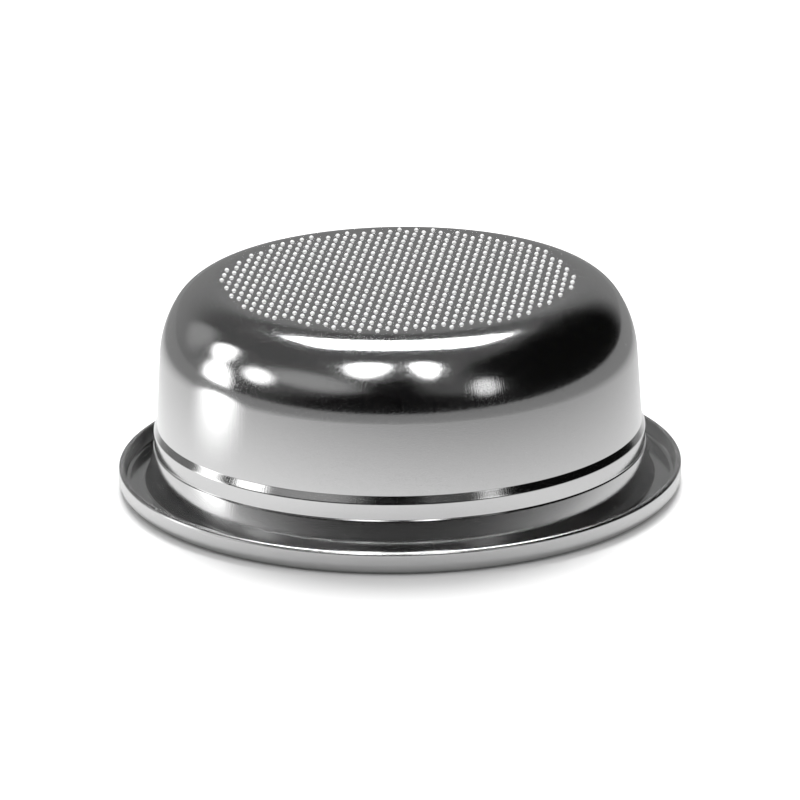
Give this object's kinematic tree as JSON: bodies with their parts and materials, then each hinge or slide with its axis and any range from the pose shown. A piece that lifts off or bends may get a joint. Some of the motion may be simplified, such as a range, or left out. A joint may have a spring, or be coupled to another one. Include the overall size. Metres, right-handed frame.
{
  "type": "espresso filter basket",
  "caption": "Drawn steel coffee filter cup: flat perforated base, rounded shoulder, tapered wall with a spring collar, and an out-turned rim with a curled lip.",
  "frame": {"origin": "on the axis, in the plane that the rim stands on", "axes": "+Z along the axis from the open mouth to the perforated base; the basket is round, so X and Y only follow the rows of holes"},
  "size_m": [0.07, 0.07, 0.026],
  "materials": {
    "steel": "polished drawn stainless steel, with faint drawing lines on the wall"
  },
  "bodies": {
    "root": {"filter_basket": "steel"}
  },
  "joints": []
}
